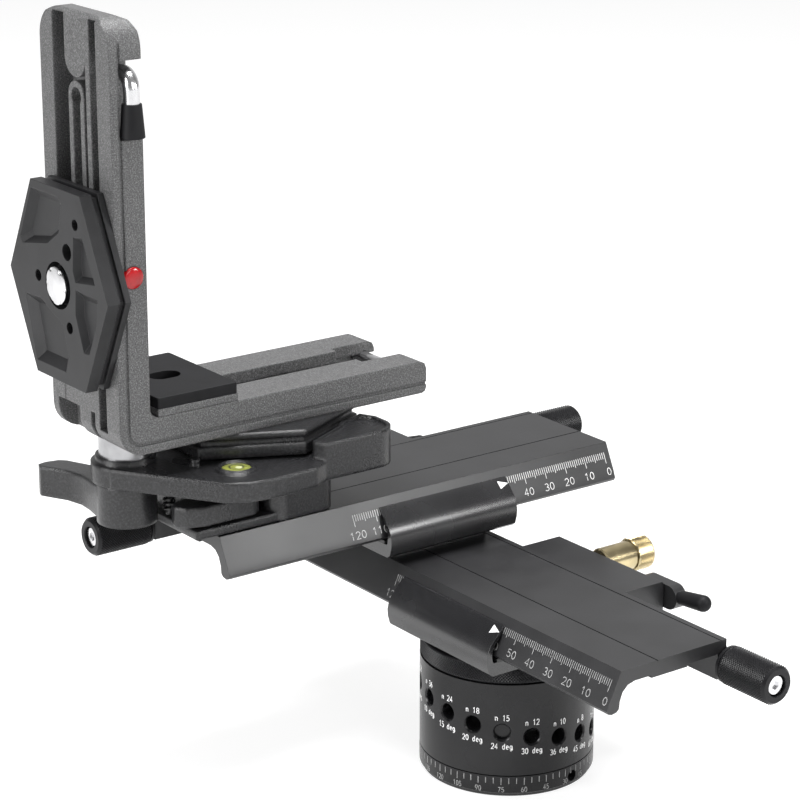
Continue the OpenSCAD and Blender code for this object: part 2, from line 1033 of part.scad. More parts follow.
// The slot the side plate slides along, wider at its upper end
module side_slot() {
  top_z = arm_z + arm_h;
  upright_slot(2.5, arm_top + 12.5, top_z - 25.6, arm_y - 1, arm_in + 1);
  translate([0, arm_y - 1, top_z - 28.8])
    rod_y(3.2, arm_t + 2);
}

// Two openings in the rounded foot of the upright
module foot_openings() {
  web_y = arm_in - web_t;
  block([-18.9, arm_y - 1, arm_z - 1], [-4.5, web_y, arm_z + 12.4]);
  block([3, arm_y - 1, arm_z - 1], [5.8, web_y, arm_z + 12.4]);
}

// What the rounding of the upright's top corners takes away
module top_corners() {
  top_z = arm_z + arm_h;
  difference() {
    block([-arm_w, arm_y - 1, top_z - top_r], [arm_w, arm_in + 1, top_z + 1]);
    block([-arm_w / 2 + top_r, arm_y - 2, top_z - 2 * top_r], [arm_w / 2 - top_r, arm_in + 2, top_z + 2]);
    for (s = [-1, 1])
      translate([s * (arm_w / 2 - top_r), arm_y - 2, top_z - top_r])
        rod_y(top_r, arm_t + 4);
  }
}

module l_bracket() {
  end_y = arm_y + arm_len;
  color(cast)
    translate([unit_x, 0, 0])
      difference() {
        translate([-arm_w / 2, 0, 0])
          along_x(arm_w)
            bracket_side();
        upright_channel();
        foot_openings();
        top_corners();
        side_slot();
        block([-channel_half, arm_y + 18, arm_z - 1], [channel_half, end_y + 1, arm_top - web_t]);
        block([-6.3, arm_in + 4, arm_top - web_t - 1], [6.3, end_y - 18, arm_top + 1]);
        block([-10, end_y - 20, arm_top - web_t - 1], [10, end_y + 1, arm_top + 1]);
        block([arm_w / 2 - 9.8, arm_y + 3.8, crank_z - 21.4], [arm_w / 2 + 1, arm_in + 1, crank_z + 5]);
        translate([-arm_w / 2 + 3, crank_y, crank_z])
          rod_x(2.5 + fit, arm_w);
        translate([-arm_w / 2 - 1, fork_y, arm_top - 6])
          rod_x(2.5 + fit, arm_w - 2);
        for (s = [-1, 1])
          lip_groove(s);
        translate([arm_w / 2 - 0.8, arm_y + 6.9, side_z + 5])
          rod_x(3.8, 3);
      }
}

module badge() {
  color([0.75, 0.05, 0.05])
    translate([unit_x + arm_w / 2 - 0.8, arm_y + 6.9, side_z + 5]) {
      rod_x(3.8, 1.2);
      translate([1.2, 0, 0])
        rotate([0, 90, 0])
          cylinder(r1 = 3.8, r2 = 2.6, h = 0.5);
    }
}

module at_side() {
  translate([unit_x, arm_y - 0.15, side_z])
    rotate([90, 0, 0])
      children();
}

// The sunken panels of the side plate's face
pockets = [
  [[-14.6, 30.6], [3.6, 30.6], [5.6, 28.6], [3.2, 18], [-5, 12.8], [-21.6, 9.6], [-23.4, 11.8]],
  [[-21.2, -8], [-10.6, -7.6], [-4, -10.6], [4.3, -13.8], [7.2, -24.8], [5.2, -30.4], [-14.8, -30.6]],
  [[12, 6.6], [13, 18.6], [18.6, 19.4], [24.6, 8.4], [26.4, 4.8], [13.4, 3]],
  [[13.4, 0.4], [27.8, 0], [26.6, -9.4], [21.2, -20.4], [17.6, -20.8], [12.8, -8.4]]
];

// The mean of a panel's corners
function middle(outline) = [for (p = outline) 1 / len(outline)] * outline;

// One sunken panel, narrower at its floor than at the face
module dished_panel(outline) {
  centre = middle(outline);
  translate([centre[0], centre[1], 0]) {
    mirror([0, 0, 1])
      linear_extrude(pocket_depth, scale = 0.72)
        translate(-centre)
          polygon(outline);
    linear_extrude(1)
      translate(-centre)
        polygon(outline);
  }
}

module side_hex() {
  color(cast)
    at_side()
      difference() {
        hex_plate();
        translate([0, 0, hex_t - 4])
          cylinder(r = 8.2, h = 5);
        translate([0, 0, -1])
          cylinder(r = 2.4, h = 20);
        for (p = [[12.8, 23.6, 1.9], [6.8, 13, 2.9], [-13.3, 0.8, 2], [7.1, -13.4, 2]])
          translate([p[0], p[1], hex_t - 5])
            cylinder(r = p[2], h = 6);
        for (outline = pockets)
          translate([-1.5, 0.6, hex_t])
            dished_panel(outline);
      }
}

module side_screw() {
  shank = arm_t + hex_t - 4;
  color(steel)
    at_side()
      difference() {
        union() {
          translate([0, 0, hex_t - 3.98])
            cylinder(r = 6.6, h = 4.6, $fn = 12);
          translate([0, 0, -arm_t - 1])
            cylinder(r = 2.4, h = shank + 1.5);
          translate([0, 0, -arm_t - 2.4])
            cylinder(r = 6.4, h = 2.1);
        }
        translate([0, 0, hex_t - 1.4])
          cylinder(r = 1.9, h = 4, $fn = 6);
      }
}

// Clamp cranks: a shaft along x, a bent handle and a rubber tip
module side_crank() {
  color(steel)
    translate([unit_x + arm_w / 2, crank_y, crank_z]) {
      translate([-arm_w + 3.4, 0, 0])
        rod_x(2.5, arm_w - 8);
      translate([-5.2, 0, 0])
        sphere(r = 2.9, $fn = 32);
      translate([-5.2, 0, 0])
        rotate([0, 135, 0])
          cylinder(r = 2.7, h = 7);
      translate([-0.25, 0, -4.95])
        sphere(r = 2.9, $fn = 32);
      translate([-0.25, 0, -14])
        cylinder(r = 2.8, h = 9);
    }
}

module side_grip() {
  color(rubber)
    translate([unit_x + arm_w / 2 - 0.25, crank_y, crank_z - 21])
      difference() {
        cylinder(r1 = 4.3, r2 = 3.4, h = 11.5);
        translate([0, 0, 7])
          cylinder(r = 2.8, h = 5);
      }
}

module arm_crank() {
  x = unit_x - arm_w / 2 - 4;
  z = arm_top - 6;
  color(steel) {
    translate([x, fork_y, z])
      rod_x(2.5, arm_w + 0.6);
    translate([x - 3.2, fork_y, z])
      rod_x(3.2, 6.4);
    translate([x, fork_y - 13.6, z])
      rod_y(2.3, 13.6);
  }
}

module arm_grip() {
  color(rubber)
    translate([unit_x - arm_w / 2 - 4, fork_y - 21.6, arm_top - 6])
      rotate([-90, 0, 0])
        difference() {
          cylinder(r1 = 3.4, r2 = 2.9, h = 11.5);
          translate([0, 0, 8])
            cylinder(r = 2.3, h = 5);
        }
}

module camera_plate() {
  color(cast)
    translate([unit_x, 0, 0]) {
      difference() {
        block([-arm_w / 2, camera_y, arm_top + 0.1], [arm_w / 2, camera_y + camera_depth, arm_top + 2.8]);
        translate([0, 0, arm_top - 1])
          slot_y(4.2, camera_y + 10.5, camera_y + 22.4, 5);
      }
      difference() {
        block([-6.15, camera_y + 3, arm_top - web_t - 0.3], [6.15, camera_y + 30.6, arm_top + 0.2]);
        translate([0, 0, arm_top - 10])
          slot_y(4.2, camera_y + 10.5, camera_y + 22.4, 15);
      }
      block([-9, camera_y + 4, arm_top - web_t - 3], [9, camera_y + 10.2, arm_top - web_t - 0.2]);
    }
}

module camera_pad() {
  color(rubber)
    translate([unit_x, 0, arm_top + 2.8])
      difference() {
        translate([0, camera_y + camera_depth / 2, 0])
          rounded_box(arm_w, camera_depth, 4, 1);
        translate([0, 0, -1])
          slot_y(4.2, camera_y + 10.5, camera_y + 22.4, 8);
      }
}

base_foot();
degree_ring();
detent_core();
thrust_washer();
spindle_nut();
index_drum();
drum_screws();
lock_ring();
index_plunger();
detent_ball();
lower_cradle();
lower_box();
lower_glides();
lower_nut();
lower_nut_spring();
lower_lever();
lower_grip();
lower_lock();
lower_plate();
lower_bushes();
lower_screw();
lower_knobs();
lower_knob_screws();
upper_spacer();
spacer_screws();
upper_cradle();
upper_box();
upper_glides();
upper_nut();
upper_nut_spring();
upper_lever();
upper_grip();
upper_lock();
upper_plate();
upper_bushes();
upper_screw();
upper_knobs();
upper_knob_screws();
clamp_bolt();
clamp_washer();
clamp_base();
clamp_body();
level_vial();
lever_pin();
clamp_lever();
catch();
catch_spring();
clamp_hex();
hex_screw();
hex_bar();
l_bracket();
badge();
side_hex();
side_screw();
side_crank();
side_grip();
arm_crank();
arm_grip();
camera_plate();
camera_pad();
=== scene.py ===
"""Panoramic head: finishes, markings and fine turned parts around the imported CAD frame. Metres."""

import json
import math

import bpy
from mathutils import Matrix, Vector


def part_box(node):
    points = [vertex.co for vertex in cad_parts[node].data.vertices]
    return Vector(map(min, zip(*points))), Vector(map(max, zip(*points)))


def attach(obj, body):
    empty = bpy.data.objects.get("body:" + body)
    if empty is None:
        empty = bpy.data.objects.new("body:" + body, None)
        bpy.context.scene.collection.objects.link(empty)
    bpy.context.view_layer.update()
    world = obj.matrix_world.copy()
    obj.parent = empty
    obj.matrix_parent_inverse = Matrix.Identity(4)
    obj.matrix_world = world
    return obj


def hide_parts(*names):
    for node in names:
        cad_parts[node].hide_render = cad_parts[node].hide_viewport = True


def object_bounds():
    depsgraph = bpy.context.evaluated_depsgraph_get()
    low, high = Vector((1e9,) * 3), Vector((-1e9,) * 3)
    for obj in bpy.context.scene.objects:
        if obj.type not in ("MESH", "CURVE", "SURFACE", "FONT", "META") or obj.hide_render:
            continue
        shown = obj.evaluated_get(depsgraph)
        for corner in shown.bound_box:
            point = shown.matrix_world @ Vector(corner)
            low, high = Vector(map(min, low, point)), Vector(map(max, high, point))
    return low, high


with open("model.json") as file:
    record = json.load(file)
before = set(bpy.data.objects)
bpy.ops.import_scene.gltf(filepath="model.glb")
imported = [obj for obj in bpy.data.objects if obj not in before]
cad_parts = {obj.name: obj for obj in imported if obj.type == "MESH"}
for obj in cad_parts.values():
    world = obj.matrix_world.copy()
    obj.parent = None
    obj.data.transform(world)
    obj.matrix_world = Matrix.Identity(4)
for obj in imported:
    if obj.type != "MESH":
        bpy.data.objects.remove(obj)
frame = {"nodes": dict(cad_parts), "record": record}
CAD_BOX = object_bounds()
NODES = frame["nodes"]
SCENE = bpy.context.scene
MM = 0.001

# Places taken from the frame
LOWER_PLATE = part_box("lower_plate")
UPPER_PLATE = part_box("upper_plate")
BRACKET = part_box("l_bracket")
LIFT = UPPER_PLATE[1].z - LOWER_PLATE[1].z
UNIT_X = (BRACKET[0].x + BRACKET[1].x) / 2
UNITS = {
    "lower": Matrix.Identity(4),
    "upper": Matrix.Translation((UNIT_X, 0, LIFT)) @ Matrix.Rotation(math.radians(90), 4, "Z"),
}
PLATE_BODY = {"lower": "lower_slide", "upper": "upper_slide"}
CRADLE_BODY = {"lower": "drum", "upper": "lower_slide"}

# Paint stands this far out of a surface and reaches as far into it
PAINT = 0.05 * MM


# Materials

def nodes_of(name):
    mat = bpy.data.materials.new(name)
    mat.use_nodes = True
    tree = mat.node_tree
    return mat, tree, tree.nodes["Principled BSDF"]


def add(tree, kind, **inputs):
    node = tree.nodes.new(kind)
    for key, value in inputs.items():
        node.inputs[key.replace("_", " ")].default_value = value
    return node


def coordinates(tree, stretch=(1, 1, 1)):
    coords = add(tree, "ShaderNodeTexCoord")
    mapping = add(tree, "ShaderNodeMapping", Scale=stretch)
    tree.links.new(coords.outputs["Object"], mapping.inputs["Vector"])
    return mapping.outputs["Vector"]


def noise(tree, vector, scale, detail=2.0, roughness=0.5):
    node = add(tree, "ShaderNodeTexNoise", Scale=scale, Detail=detail, Roughness=roughness)
    tree.links.new(vector, node.inputs["Vector"])
    return node.outputs["Fac"]


def ramp(tree, factor, stops):
    node = add(tree, "ShaderNodeValToRGB")
    node.color_ramp.elements[0].position = stops[0][0]
    node.color_ramp.elements[0].color = (*stops[0][1], 1)
    node.color_ramp.elements[1].position = stops[-1][0]
    node.color_ramp.elements[1].color = (*stops[-1][1], 1)
    for place, colour in stops[1:-1]:
        node.color_ramp.elements.new(place).color = (*colour, 1)
    tree.links.new(factor, node.inputs["Fac"])
    return node.outputs["Color"]


def spread(tree, factor, low, high):
    node = add(tree, "ShaderNodeMapRange", To_Min=low, To_Max=high)
    tree.links.new(factor, node.inputs["Value"])
    return node.outputs["Result"]


def bump(tree, bsdf, height, strength, distance, edge=0.0):
    """Fine relief; edge is the radius within which a sharp edge catches the light as a rounded one."""
    node = add(tree, "ShaderNodeBump", Strength=strength, Distance=distance)
    tree.links.new(height, node.inputs["Height"])
    if edge > 0:
        rounded = add(tree, "ShaderNodeBevel", Radius=edge)
        rounded.samples = 6
        tree.links.new(rounded.outputs["Normal"], node.inputs["Normal"])
    tree.links.new(node.outputs["Normal"], bsdf.inputs["Normal"])


def shade(colour, factor):
    return tuple(c * factor for c in colour)


def finish_material(name, colour, metallic, rough, spots, grain,
                    specular=0.5, stretch=(1, 1, 1), contrast=0.25):
    """Colour drifts between two shades, roughness drifts with it, and a fine grain lifts the surface.
    spots is the scale of the drift; grain is (scale, strength, height)."""
    mat, tree, bsdf = nodes_of(name)
    vector = coordinates(tree, stretch)
    drift = noise(tree, vector, spots, 3.0)
    colours = ramp(tree, drift, [(0.3, shade(colour, 1 - contrast)), (0.7, shade(colour, 1 + contrast))])
    tree.links.new(colours, bsdf.inputs["Base Color"])
    tree.links.new(spread(tree, drift, rough[0], rough[1]), bsdf.inputs["Roughness"])
    bsdf.inputs["Metallic"].default_value = metallic
    bsdf.inputs["Specular IOR Level"].default_value = specular
    fine = noise(tree, vector, grain[0], 2.0, 0.6)
    bump(tree, bsdf, fine, grain[1], grain[2])
    return mat


def powder_coat(name, colour, scale, rough, lift, edge):
    """Granular coat on a casting: pale specks on a dark ground, each a small bump of height lift."""
    mat, tree, bsdf = nodes_of(name)
    vector = coordinates(tree)
    grains = noise(tree, vector, scale, 2.0, 0.6)
    drift = noise(tree, vector, 40.0, 2.0)
    specks = ramp(tree, grains, [
        (0.34, shade(colour, 0.45)),
        (0.48, shade(colour, 0.85)),
        (0.56, shade(colour, 1.15)),
        (0.68, shade(colour, 2.0)),
    ])
    tree.links.new(specks, bsdf.inputs["Base Color"])
    tree.links.new(spread(tree, drift, rough[0], rough[1]), bsdf.inputs["Roughness"])
    bsdf.inputs["Specular IOR Level"].default_value = 0.5
    bump(tree, bsdf, grains, 0.7, lift, edge)
    return mat


def vial_material():
    mat, tree, bsdf = nodes_of("vial_liquid")
    vector = coordinates(tree)
    colours = ramp(tree, noise(tree, vector, 300.0), [(0.3, (0.15, 0.17, 0.03)), (0.7, (0.25, 0.27, 0.06))])
    tree.links.new(colours, bsdf.inputs["Base Color"])
    bsdf.inputs["Roughness"].default_value = 0.08
    bsdf.inputs["Coat Weight"].default_value = 0.8
    bsdf.inputs["Coat Roughness"].default_value = 0.03
    return mat


BLACK = (0.012, 0.012, 0.013)
MATERIALS = {
    "anodised": finish_material("satin_anodised", BLACK, 0.0, (0.34, 0.42), 60.0,
                                (2600.0, 0.12, 0.03 * MM), 0.6),
    "cast": powder_coat("granular_coat", (0.078, 0.078, 0.079), 2100.0, (0.42, 0.54), 0.13 * MM, 1.0 * MM),
    "steel": finish_material("plain_steel", (0.45, 0.45, 0.46), 1.0, (0.28, 0.4), 90.0,
                             (900.0, 0.1, 0.02 * MM)),
    "bright": finish_material("bright_plate", (0.74, 0.74, 0.75), 1.0, (0.16, 0.24), 60.0,
                              (700.0, 0.04, 0.01 * MM)),
    "brass": finish_material("polished_brass", (0.56, 0.47, 0.28), 1.0, (0.2, 0.3), 80.0,
                             (900.0, 0.08, 0.02 * MM)),
    "knurled": finish_material("black_knurl", (0.01, 0.01, 0.011), 0.0, (0.3, 0.4), 90.0,
                               (1800.0, 0.1, 0.02 * MM), 0.2),
    "rubber": finish_material("black_rubber", (0.008, 0.008, 0.009), 0.0, (0.48, 0.62), 120.0,
                              (2200.0, 0.3, 0.05 * MM), 0.15),
    "glide": finish_material("glide_plastic", (0.03, 0.03, 0.03), 0.0, (0.4, 0.5), 150.0,
                             (1500.0, 0.1, 0.02 * MM)),
    "vial": vial_material(),
    "red": finish_material("red_enamel", (0.36, 0.006, 0.009), 0.0, (0.12, 0.2), 200.0,
                           (500.0, 0.03, 0.01 * MM)),
}
SMOOTH_CAST = powder_coat("smooth_coat", (0.014, 0.014, 0.015), 1300.0, (0.24, 0.32), 0.15 * MM, 2.0 * MM)
GLOSS_BLACK = finish_material("gloss_anodised", BLACK, 0.0, (0.24, 0.3), 60.0, (2600.0, 0.14, 0.03 * MM), 0.9)
MOULDED = finish_material("moulded_black", (0.016, 0.016, 0.017), 0.0, (0.34, 0.44), 80.0,
                          (2000.0, 0.2, 0.04 * MM), 0.25)
# The drum, degree ring and plunger are black anodised. Their colour is painted 0.7 times darker than the
# other anodised parts, with a low specular, as painted shade in place of the dark surroundings they reflect.
DRUM_BLACK_WITH_SHADE = finish_material("drum_anodised_painted_shade", shade(BLACK, 0.7), 0.0, (0.22, 0.3), 60.0,
                             (2600.0, 0.14, 0.03 * MM), 0.3)
# Nodes with a finish other than their slot's
OWN_FINISH = {
    "index_drum": DRUM_BLACK_WITH_SHADE,
    "degree_ring": DRUM_BLACK_WITH_SHADE,
    "index_plunger": DRUM_BLACK_WITH_SHADE,
    "lower_cradle": GLOSS_BLACK,
    "upper_cradle": GLOSS_BLACK,
    "side_hex": MOULDED,
}
for smooth_node in ("clamp_base", "clamp_body", "clamp_lever", "catch", "clamp_hex"):
    OWN_FINISH[smooth_node] = SMOOTH_CAST
WHITE_PAINT = finish_material("white_paint", (0.72, 0.72, 0.72), 0.0, (0.45, 0.6), 900.0,
                              (2500.0, 0.1, 0.02 * MM), 0.3, (1, 1, 1), 0.12)
# Grey for the degree ring's marks and for the lower slide's scale. On the lower scale the grey is painted
# shade: the same scale on the upper slide is white.
GREY_PRINT_AND_SHADE = finish_material("grey_print_and_painted_shade", (0.3, 0.3, 0.3), 0.0, (0.45, 0.6), 900.0, (2500.0, 0.1, 0.02 * MM),
                             0.3, (1, 1, 1), 0.2)
BUBBLE = finish_material("level_bubble", (0.5, 0.52, 0.3), 0.0, (0.05, 0.1), 400.0, (600.0, 0.02, 0.01 * MM))
DARK_STEEL = finish_material("dark_steel", (0.09, 0.09, 0.09), 1.0, (0.35, 0.45), 90.0,
                             (900.0, 0.1, 0.02 * MM))
DARK_LINE = finish_material("dark_line", (0.01, 0.01, 0.01), 0.0, (0.4, 0.5), 200.0, (1500.0, 0.1, 0.02 * MM))


# Mesh helpers

def piece(name, verts, faces, body, mat, slot, sharp=math.radians(35)):
    data = bpy.data.meshes.new(name)
    data.from_pydata([tuple(v) for v in verts], [], faces)
    data.validate()
    data.polygons.foreach_set("use_smooth", [sharp > 0] * len(data.polygons))
    if sharp > 0:
        data.set_sharp_from_angle(angle=sharp)
    data.materials.append(mat)
    obj = bpy.data.objects.new(name, data)
    SCENE.collection.objects.link(obj)
    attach(obj, body)
    return obj


def joined(parts):
    """One vertex list and one face list from several."""
    verts, faces = [], []
    for part_verts, part_faces in parts:
        start = len(verts)
        verts += part_verts
        faces += [[start + i for i in face] for face in part_faces]
    return verts, faces


def moved(part, matrix):
    return [matrix @ Vector(v) for v in part[0]], part[1]


def basis(x_axis, y_axis, z_axis, place):
    """Matrix that takes local x, y and z to the given directions."""
    columns = [Vector(x_axis), Vector(y_axis), Vector(z_axis)]
    matrix = Matrix.Identity(4)
    for i, column in enumerate(columns):
        for row in range(3):
            matrix[row][i] = column[row]
    return Matrix.Translation(place) @ matrix


def along(place, direction):
    """Matrix that lays a part turned about local z along a direction."""
    turn = Vector((0, 0, 1)).rotation_difference(Vector(direction))
    return Matrix.Translation(place) @ turn.to_matrix().to_4x4()


def turned(profile, around):
    """Solid of revolution about z. profile is a list of (z, r); r of 0 closes an end."""
    return banded([(z, [r] * around) for z, r in profile], around)


def banded(rings, around):
    """Closed surface from rings of radii about z. A ring whose radii are all 0 is one point."""
    verts, faces, starts = [], [], []
    for z, radii in rings:
        starts.append(len(verts))
        if max(radii) == 0:
            verts.append(Vector((0, 0, z)))
            continue
        for j in range(around):
            angle = 2 * math.pi * j / around
            verts.append(Vector((radii[j] * math.cos(angle), radii[j] * math.sin(angle), z)))
    for k in range(len(rings) - 1):
        faces += between(rings[k][1], rings[k + 1][1], starts[k], starts[k + 1], around)
    return verts, faces


def between(low, high, low_start, high_start, around):
    """Faces from one ring to the next. Crossed quads split along their two lower corners."""
    faces = []
    for j in range(around):
        n = (j + 1) % around
        if max(low) == 0:
            faces.append([low_start, high_start + n, high_start + j])
        elif max(high) == 0:
            faces.append([low_start + j, low_start + n, high_start])
        else:
            a, b, c, d = low_start + j, low_start + n, high_start + n, high_start + j
            if low[j] + high[n] < low[n] + high[j]:
                faces += [[a, b, c], [a, c, d]]
            elif low[j] + high[n] > low[n] + high[j]:
                faces += [[a, b, d], [b, c, d]]
            else:
                faces.append([a, b, c, d])
    return faces


def looped(part, around):
    """A banded surface with its last ring joined to its first, so that it closes on itself."""
    verts, faces = part
    last = len(verts) - around
    return verts, faces + [[last + j, last + (j + 1) % around, (j + 1) % around, j] for j in range(around)]


def knurl_rings(start, end, r, pitch, depth, around):
    """Rings of a diamond knurl: points and hollows alternate along and around."""
    count = 2 * max(2, round((end - start) / pitch))
    rings = []
    for i in range(count + 1):
        z = start + (end - start) * i / count
        edge = i in (0, count)
        rings.append((z, [r - depth if edge or (i + j) % 2 else r for j in range(around)]))
    return rings


def plain_rings(profile, around):
    return [(z, [r] * around) for z, r in profile]


def knurl_count(r, pitch):
    return 2 * round(2 * math.pi * r / pitch)


def tube(points, radius, sides=20):
    """Round tube with closed ends along points; radius may differ at each."""
    radii = radius if isinstance(radius, list) else [radius] * len(points)
    points = [Vector(p) for p in points]
    verts, faces = [], []
    normal = None
    for k, point in enumerate(points):
        ahead = points[min(k + 1, len(points) - 1)] - points[max(k - 1, 0)]
        ahead.normalize()
        normal = ahead.orthogonal() if normal is None else normal - ahead * normal.dot(ahead)
        normal.normalize()
        side = ahead.cross(normal)
        for s in range(sides):
            a = 2 * math.pi * s / sides
            verts.append(point + radii[k] * (math.cos(a) * normal + math.sin(a) * side))
    for k in range(len(points) - 1):
        for s in range(sides):
            n = (s + 1) % sides
            faces.append([k * sides + s, k * sides + n, (k + 1) * sides + n, (k + 1) * sides + s])
    faces.append(list(range(sides - 1, -1, -1)))
    faces.append([(len(points) - 1) * sides + s for s in range(sides)])
    return verts, faces


def slab(outline, low, high):
    """Straight solid on an outline of (x, y), from z low to z high."""
    n = len(outline)
    verts = [Vector((x, y, z)) for z in (low, high) for x, y in outline]
    faces = [list(range(n - 1, -1, -1)), list(range(n, 2 * n))]
    faces += [[i, (i + 1) % n, n + (i + 1) % n, n + i] for i in range(n)]
    return verts, faces


def soften(node, width, segments=2):
    """Rounds a CAD node's edges for the light, with the CAD mesh itself left as it is."""
    obj = NODES[node]
    weld = obj.modifiers.new("weld", "WELD")
    weld.merge_threshold = 0.002 * MM
    flat = obj.modifiers.new("flat", "DECIMATE")
    flat.decimate_type = "DISSOLVE"
    flat.angle_limit = math.radians(0.4)
    round_off = obj.modifiers.new("round", "BEVEL")
    round_off.width = width
    round_off.segments = segments
    round_off.limit_method = "ANGLE"
    round_off.angle_limit = math.radians(28)
    round_off.use_clamp_overlap = True
    normals = obj.modifiers.new("normals", "WEIGHTED_NORMAL")
    normals.keep_sharp = False


# Lettering: thin stroke digits and short words as solids, laid on a surface by a mapping

def arc(cx, cy, rx, ry, start, end):
    """Points round part of an ellipse, angles in degrees."""
    count = max(3, round(abs(end - start) / 24))
    turns = [math.radians(start + (end - start) * k / count) for k in range(count + 1)]
    return [(cx + rx * math.cos(t), cy + ry * math.sin(t)) for t in turns]


# Strokes of each character in a box 0.58 wide and 1 tall
STROKES = {
    " ": [],
    "0": [arc(0.29, 0.5, 0.29, 0.5, 90, 450)],
    "1": [[(0.1, 0.78), (0.32, 1), (0.32, 0)]],
    "2": [arc(0.28, 0.71, 0.28, 0.29, 165, -30) + [(0, 0), (0.58, 0)]],
    "3": [arc(0.27, 0.75, 0.25, 0.25, 150, -90), arc(0.27, 0.25, 0.3, 0.25, 90, -150)],
    "4": [[(0.42, 0), (0.42, 1), (0, 0.3), (0.58, 0.3)]],
    "5": [[(0.52, 1), (0.1, 1), (0.06, 0.55)] + arc(0.26, 0.32, 0.3, 0.32, 130, -150)],
    "6": [arc(0.29, 0.3, 0.28, 0.3, 90, 450), [(0.02, 0.36), (0.14, 0.72), (0.4, 1)]],
    "7": [[(0, 1), (0.56, 1), (0.18, 0)]],
    "8": [arc(0.29, 0.75, 0.24, 0.25, 90, 450), arc(0.29, 0.25, 0.29, 0.25, 90, 450)],
    "9": [arc(0.29, 0.7, 0.28, 0.3, 90, 450), [(0.56, 0.64), (0.44, 0.28), (0.18, 0)]],
    "d": [arc(0.26, 0.33, 0.24, 0.33, 90, 450), [(0.5, 0), (0.5, 1)]],
    "e": [[(0.04, 0.36), (0.52, 0.36)] + arc(0.28, 0.33, 0.24, 0.33, 5, 315)],
    "g": [arc(0.26, 0.33, 0.24, 0.33, 90, 450),
          [(0.5, 0.66), (0.5, -0.1)] + arc(0.26, -0.1, 0.24, 0.2, 0, -150)],
    "n": [[(0.04, 0), (0.04, 0.66)], arc(0.27, 0.4, 0.23, 0.26, 180, 0) + [(0.5, 0)]],
}
ADVANCE = 0.84
BOX_WIDTH = 0.58


def ribbon(points, width):
    """Flat solid of one width along points of (x, y), with mitred corners."""
    points = [Vector(p) for p in points]
    last = len(points) - 1
    verts, faces = [], []
    for k, point in enumerate(points):
        before = (points[max(k, 1)] - points[max(k, 1) - 1]).normalized()
        after = (points[min(k, last - 1) + 1] - points[min(k, last - 1)]).normalized()
        ahead = (before + after).normalized()
        side = Vector((-ahead.y, ahead.x))
        reach = width / 2 / max(0.5, ahead.dot(after))
        for across, depth in ((1, -PAINT), (-1, -PAINT), (-1, PAINT), (1, PAINT)):
            edge = point + side * reach * across
            verts.append(Vector((edge.x, edge.y, depth)))
    for k in range(last):
        for s in range(4):
            n = (s + 1) % 4
            faces.append([4 * k + s, 4 * k + 4 + s, 4 * k + 4 + n, 4 * k + n])
    faces.append([0, 1, 2, 3])
    faces.append([4 * last + 3, 4 * last + 2, 4 * last + 1, 4 * last])
    return verts, faces


def glyphs(text, height, widen, weight):
    """Text centred on x with its foot at y 0, drawn in strokes of one weight."""
    total = (len(text) - 1) * ADVANCE + BOX_WIDTH
    parts = []
    for i, letter in enumerate(text):
        start = i * ADVANCE - total / 2
        for stroke in STROKES[letter]:
            points = [((start + x) * height * widen, y * height) for x, y in stroke]
            parts.append(ribbon(points, weight))
    return joined(parts)


def tick(width, low, high):
    """A mark on x 0 from y low to y high."""
    half = width / 2
    return slab([(-half, low), (half, low), (half, high), (-half, high)], -PAINT, PAINT)


def laid(part, mapping):
    return [mapping(v) for v in part[0]], part[1]


def on_drum(angle, z, r):
    """Mapping to a cylinder about the pan axis: x runs round it, y up it, z out of it."""
    def mapping(v):
        a = angle + v.x / r
        return Vector(((r + v.z) * math.cos(a), (r + v.z) * math.sin(a), z + v.y))
    return mapping


def on_profile(profile, u, down, unit):
    """Mapping to a surface that is straight along a slide: x along it, y up a profile of (v, z) points.
    down is the distance along the profile at which y is 0."""
    def mapping(v):
        left = down - v.y
        for (v0, z0), (v1, z1) in zip(profile, profile[1:]):
            length = math.hypot(v1 - v0, z1 - z0)
            if left <= length or (v1, z1) == profile[-1]:
                break
            left -= length
        dv, dz = (v1 - v0) / length, (z1 - z0) / length
        out = Vector((dz, -dv))
        place = Vector((v0 + dv * left, z0 + dz * left)) + out * v.z
        return unit @ Vector((u + v.x, place.x, place.y))
    return mapping


# Rotator

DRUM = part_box("index_drum")
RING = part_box("degree_ring")
DRUM_R = DRUM[1].x
STOPS = [72, 36, 24, 18, 15, 12, 10, 8, 6, 4]
STOP_FIRST = math.radians(-120.2)
STOP_STEP = math.radians(19.6)
STOP_Z = 33.1 * MM
STOP_DROP = 1.97 * MM


def drum_labels():
    """Clicks in a turn above each index hole, and the angle of a click below it."""
    parts = []
    for i, count in enumerate(STOPS):
        angle = STOP_FIRST + i * STOP_STEP
        z = STOP_Z - i * STOP_DROP
        above = glyphs(f"n {count}", 2.1 * MM, 0.78, 0.26 * MM)
        below = glyphs(f"{360 // count} deg", 2.1 * MM, 0.76, 0.26 * MM)
        parts.append(laid(above, on_drum(angle, z + 4.65 * MM, DRUM_R)))
        parts.append(laid(below, on_drum(angle, z - 6.4 * MM, DRUM_R)))
    piece("drum_labels", *joined(parts), "drum", WHITE_PAINT, "bright", 0)


def degree_marks():
    """A tick every 5 degrees and a number every 15."""
    zero = math.radians(33)
    top = RING[1].z - 0.6 * MM
    parts = []
    for degrees in range(0, 360, 5):
        angle = zero - math.radians(degrees)
        labelled = degrees % 15 == 0
        length = (2.7 if labelled else 2.2) * MM
        parts.append(laid(tick(0.26 * MM, top - length, top), on_drum(angle, 0, DRUM_R)))
        if labelled:
            number = glyphs(str(degrees), 1.85 * MM, 0.8, 0.22 * MM)
            parts.append(laid(number, on_drum(angle, 1.9 * MM, DRUM_R)))
    piece("degree_marks", *joined(parts), "foot", GREY_PRINT_AND_SHADE, "bright", 0)


